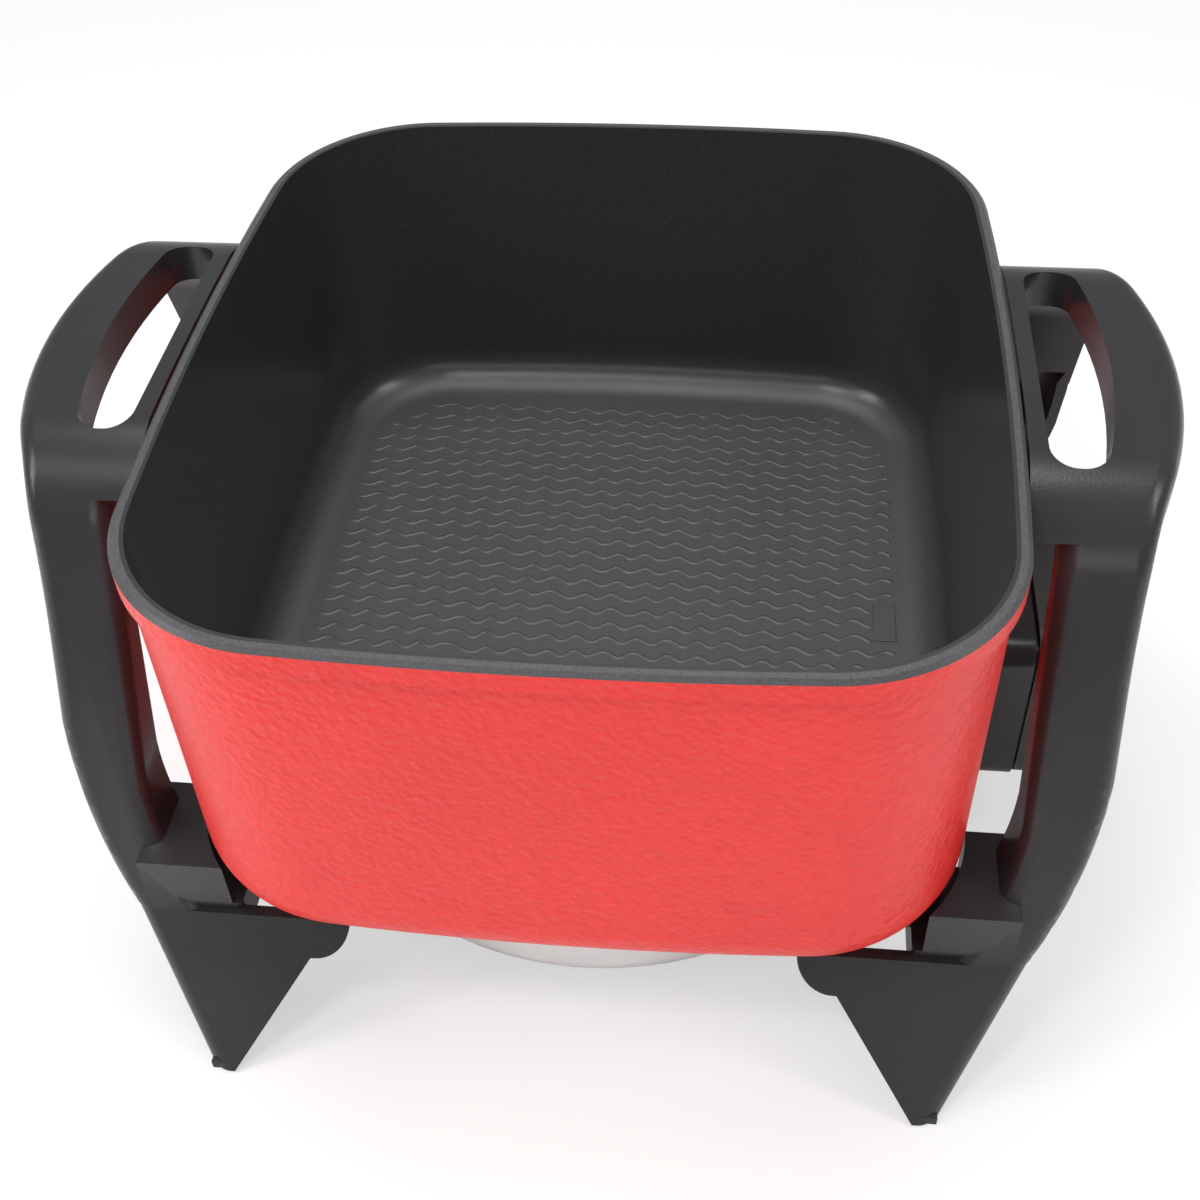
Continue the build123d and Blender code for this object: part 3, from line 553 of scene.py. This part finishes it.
finishes = {
    plated: ("live_pin", "neutral_pin", "earth_pin", "thermostat_probe", "dial_shaft"),
    brass_sheet: ("live_receptacle", "neutral_receptacle", "earth_receptacle"),
    sheath: ("heating_element",),
    steatite: ("terminal_bushes", "thermostat_block"),
    rubber: ("right_foot_pads", "left_foot_pads", "cord_gland"),
    control_plastic: ("control_inner_shell", "control_cover", "control_dial"),
    bakelite: ("socket_shroud",),
    amber: ("lamp_lens", "pilot_lamp"),
}
for finish, names in finishes.items():
    for name in names:
        for slot in nodes[name].material_slots:
            slot.material = finish

# ---- Screws ----
# Plated steel screws with a cross recess in each head. They hold the brackets, the dish and
# the socket box to the pan, and the two shells of the heat control together.


def loose_parts(shape):
    """Vertices of a shape in groups, one group for each part that hangs together."""
    grouped = set()
    for first in shape.verts:
        if first in grouped:
            continue
        group, fresh_ones = {first}, [first]
        while fresh_ones:
            vertex = fresh_ones.pop()
            near = {edge.other_vert(vertex) for edge in vertex.link_edges} - group
            group |= near
            fresh_ones += near
        grouped |= group
        yield group


def recessed(node, name):
    """Copy of a node's screws with a cross cut into each head, which is a screw's widest end."""
    bar_width, bar_depth = 0.0009, 0.0026
    head_height = 0.0015
    mesh = joined(node, "uncut_" + name)
    shape = bmesh.new()
    shape.from_mesh(mesh)
    cutter = bmesh.new()
    for screw in loose_parts(shape):
        low = [min(vertex.co[k] for vertex in screw) for k in range(3)]
        high = [max(vertex.co[k] for vertex in screw) for k in range(3)]
        middle = (Vector(low) + Vector(high)) / 2
        axis = max((2, 0, 1), key=lambda k: round(high[k] - low[k], 4))
        ends = []
        for end in (low[axis], high[axis]):
            offsets = [vertex.co - middle for vertex in screw if abs(vertex.co[axis] - end) < head_height]
            for offset in offsets:
                offset[axis] = 0
            ends.append((max(offset.length for offset in offsets), end))
        radius, middle[axis] = max(ends)
        for long_way in ((axis + 1) % 3, (axis + 2) % 3):
            size = [bar_width] * 3
            size[axis] = bar_depth
            size[long_way] = radius
            add_block(cutter, middle, size)
    shape.free()
    bars = linked("cutter", mesh_of(cutter, "cutter"))
    screws = linked("uncut_" + name, mesh)
    cut = screws.modifiers.new("cut", "BOOLEAN")
    cut.object = bars
    cut.operation = "DIFFERENCE"
    cut.solver = "EXACT"
    cut.use_self = True
    made = settled(screws, name)
    bpy.data.objects.remove(bars)
    return made


screws = {
    "right_bracket_screws": "skillet",
    "left_bracket_screws": "skillet",
    "heat_shield_screws": "skillet",
    "socket_shroud_screws": "skillet",
    "control_screws": "heat_control",
}
for node, body in screws.items():
    crossed = recessed(node, "crossed_" + node)
    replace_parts(new_piece("crossed_" + node, crossed, plated, body), node)

# ---- Dial marks ----
# White printed ticks stand round the dial over its turn of 270 degrees, the first one longer
# for off, and a white line on the dial's bar points at them.
white_paint = grained(
    "white_marking", dark=(0.72, 0.72, 0.70, 1), light=(0.86, 0.86, 0.84, 1),
    scale=900.0, detail=2.0, smooth=0.45, added=0.15, Specular_IOR_Level=0.3,
)
dial_low, dial_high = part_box("control_dial")
dial_z = (dial_low.z + dial_high.z) / 2
tick_count = 13
tick_sizes = {
    "Face": dial_low.x - 0.0005,
    "Height": dial_z,
    "Radius": 0.0222,
    "Step": radians(270 / (tick_count - 1)),
    "Length": 0.0026,
    "Width": 0.0007,
}
kit, (face, height, radius, step, length, width) = new_tree("dial_ticks", tick_sizes)
dots = kit.node("GeometryNodeMeshLine", {}, {"Count": tick_count})
index = kit.node("GeometryNodeInputIndex", {}, {})
turn = index * step
first = kit.math("LESS_THAN", index, 0.5)
longer, flatter = 0.5, 0.25
middle = radius + first * length * (longer / 2)
place_y = 0 - kit.math("SINE", turn) * middle
place_z = kit.math("COSINE", turn) * middle + height
spot = kit.node("ShaderNodeCombineXYZ", {}, {"X": face, "Y": place_y, "Z": place_z})
dots = kit.node("GeometryNodeSetPosition", {}, {"Geometry": dots, "Position": spot})
size = kit.node("ShaderNodeCombineXYZ", {}, {"X": width * flatter, "Y": width, "Z": length})
bar = kit.node("GeometryNodeMeshCube", {}, {"Size": size})
lean = kit.node("ShaderNodeCombineXYZ", {}, {"X": turn})
grow = kit.node("ShaderNodeCombineXYZ", {}, {"X": 1.0, "Y": 1.0, "Z": first * longer + 1})
links = {"Points": dots, "Instance": bar, "Rotation": lean, "Scale": grow}
end_tree(kit.node("GeometryNodeInstanceOnPoints", {}, links), white_paint)
grown("dial_ticks", kit.tree, tick_sizes, "heat_control")

pointer_rise = 0.0105
pointer_size = (0.0003, 0.0011, 0.007)
pointer = bmesh.new()
add_block(pointer, (dial_high.x, 0, dial_z + pointer_rise), pointer_size)
new_piece("dial_pointer", mesh_of(pointer, "dial_pointer"), white_paint, "dial")

# ---- Size ----
# The box of the bare skillet and the box of the finished one, both at rest, are kept side
# by side.
bpy.context.view_layer.update()
boxes = {"cad": cad_box, "visual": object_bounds()}
{name: [list(corner) for corner in box] for name, box in boxes.items()}
